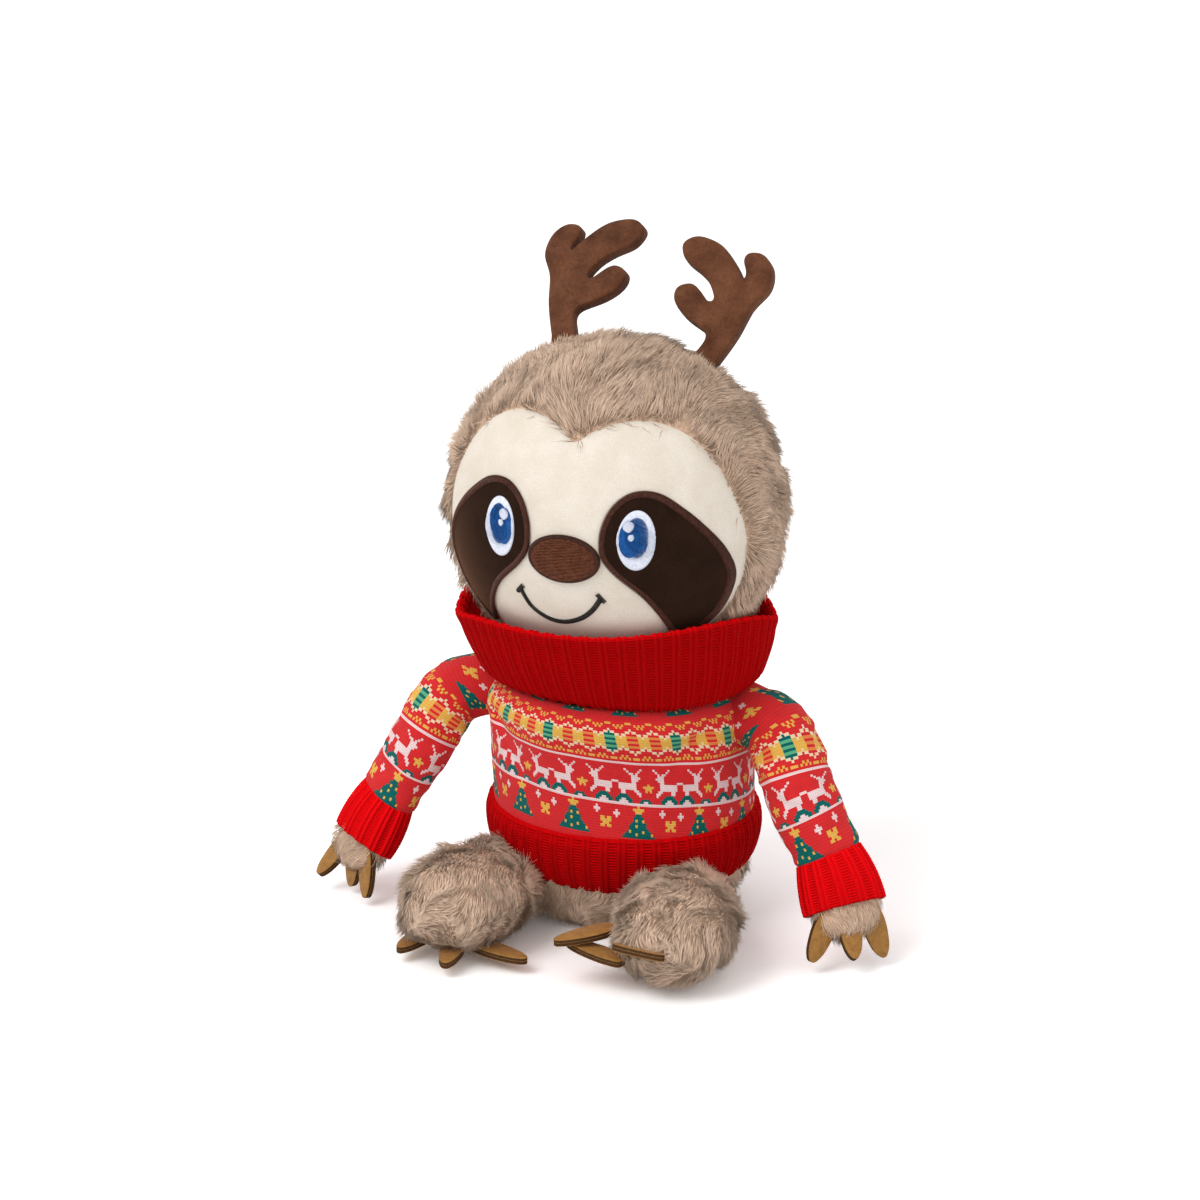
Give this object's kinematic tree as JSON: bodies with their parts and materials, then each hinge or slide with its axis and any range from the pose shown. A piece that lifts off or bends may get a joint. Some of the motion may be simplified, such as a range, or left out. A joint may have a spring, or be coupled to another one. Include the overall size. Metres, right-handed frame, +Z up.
{
  "type": "plush sloth",
  "caption": "Seated plush sloth with an embroidered face, felt reindeer antlers and a red turtleneck winter jumper; arms, legs and head move at their soft joints.",
  "frame": {"origin": "middle of the flat seat, on the surface that the toy sits on", "axes": "+Z up, -Y the way the toy looks, +X its own left"},
  "size_m": [0.237, 0.1488, 0.2701],
  "materials": {
    "long_pile_fur": "taupe faux fur with a 7 to 10 mm standing pile",
    "short_pile_face": "cream short-pile plush cloth",
    "eye_patch_plush": "dark brown short-pile applique with a satin-stitched edge",
    "nose_thread": "brown embroidery thread in rows",
    "mouth_thread": "near-black satin stitch",
    "eye_white_thread": "white embroidery thread",
    "iris_thread": "blue embroidery thread",
    "antler_felt": "brown needle felt",
    "claw_leathercloth": "tan suede-like cloth in two layers with dark cut edges",
    "red_rib_knit": "red acrylic ribbed knit",
    "printed_knit": "red jersey printed with a traditional winter knit pattern",
    "polyester_fibre": "white polyester fibre filling",
    "plastic_pellets": "small polyethylene pellets in a cloth bag"
  },
  "bodies": {
    "torso": {"body_fur_shell": "long_pile_fur", "body_stuffing": "polyester_fibre", "seat_pellet_pouch": "plastic_pellets", "sweater_body": "printed_knit", "sweater_hem": "red_rib_knit", "sweater_collar": "red_rib_knit"},
    "neck": {"neck_stuffing": "polyester_fibre"},
    "head": {"head_fur_shell": "long_pile_fur", "head_stuffing": "polyester_fibre", "face_panel": "short_pile_face", "nose_embroidery": "nose_thread", "mouth_embroidery": "mouth_thread", "eye_patch_left": "eye_patch_plush", "eye_white_left": "eye_white_thread", "iris_left": "iris_thread", "eye_patch_right": "eye_patch_plush", "eye_white_right": "eye_white_thread", "iris_right": "iris_thread"},
    "antler_left": {"antler_left": "antler_felt"},
    "antler_right": {"antler_right": "antler_felt"},
    "arm_left": {"sleeve_left": "printed_knit", "cuff_left": "red_rib_knit", "arm_fur_left": "long_pile_fur", "arm_stuffing_left": "polyester_fibre", "hand_claw_left_1": "claw_leathercloth", "hand_claw_left_2": "claw_leathercloth", "hand_claw_left_3": "claw_leathercloth"},
    "arm_right": {"sleeve_right": "printed_knit", "cuff_right": "red_rib_knit", "arm_fur_right": "long_pile_fur", "arm_stuffing_right": "polyester_fibre", "hand_claw_right_1": "claw_leathercloth", "hand_claw_right_2": "claw_leathercloth", "hand_claw_right_3": "claw_leathercloth"},
    "leg_left": {"leg_fur_left": "long_pile_fur", "leg_stuffing_left": "polyester_fibre", "foot_claw_left_1": "claw_leathercloth", "foot_claw_left_2": "claw_leathercloth", "foot_claw_left_3": "claw_leathercloth"},
    "leg_right": {"leg_fur_right": "long_pile_fur", "leg_stuffing_right": "polyester_fibre", "foot_claw_right_1": "claw_leathercloth", "foot_claw_right_2": "claw_leathercloth", "foot_claw_right_3": "claw_leathercloth"}
  },
  "joints": [
    {"name": "head_turn", "type": "hinge", "parent": "torso", "child": "neck", "pos_m": [0, -0.009, 0.1], "axis": [0, 0, 1], "range_deg": [-30, 30]},
    {"name": "head_nod", "type": "hinge", "parent": "neck", "child": "head", "pos_m": [0, -0.009, 0.1679], "axis": [1, 0, 0], "range_deg": [-12, 12]},
    {"name": "antler_flex_left", "type": "hinge", "parent": "head", "child": "antler_left", "pos_m": [0.0288, 0.0084, 0.22173], "axis": [-0.904, 0.3054, 0.2992], "range_deg": [-12, 12], "stiffness_Nm_per_rad": 0.02},
    {"name": "antler_flex_right", "type": "hinge", "parent": "head", "child": "antler_right", "pos_m": [-0.02624, 0.00666, 0.22366], "axis": [0.9422, 0.0824, 0.3248], "range_deg": [-12, 12], "stiffness_Nm_per_rad": 0.02},
    {"name": "arm_swing_left", "type": "hinge", "parent": "torso", "child": "arm_left", "pos_m": [0.047, 0, 0.087], "axis": [-1, 0, 0], "range_deg": [-30, 70]},
    {"name": "arm_swing_right", "type": "hinge", "parent": "torso", "child": "arm_right", "pos_m": [-0.047, 0, 0.087], "axis": [-1, 0, 0], "range_deg": [-30, 70]},
    {"name": "leg_lift_left", "type": "hinge", "parent": "torso", "child": "leg_left", "pos_m": [0.036, -0.022, 0.019], "axis": [-1, 0, 0], "range_deg": [-40, 30]},
    {"name": "leg_lift_right", "type": "hinge", "parent": "torso", "child": "leg_right", "pos_m": [-0.036, -0.022, 0.019], "axis": [-1, 0, 0], "range_deg": [-40, 30]}
  ]
}
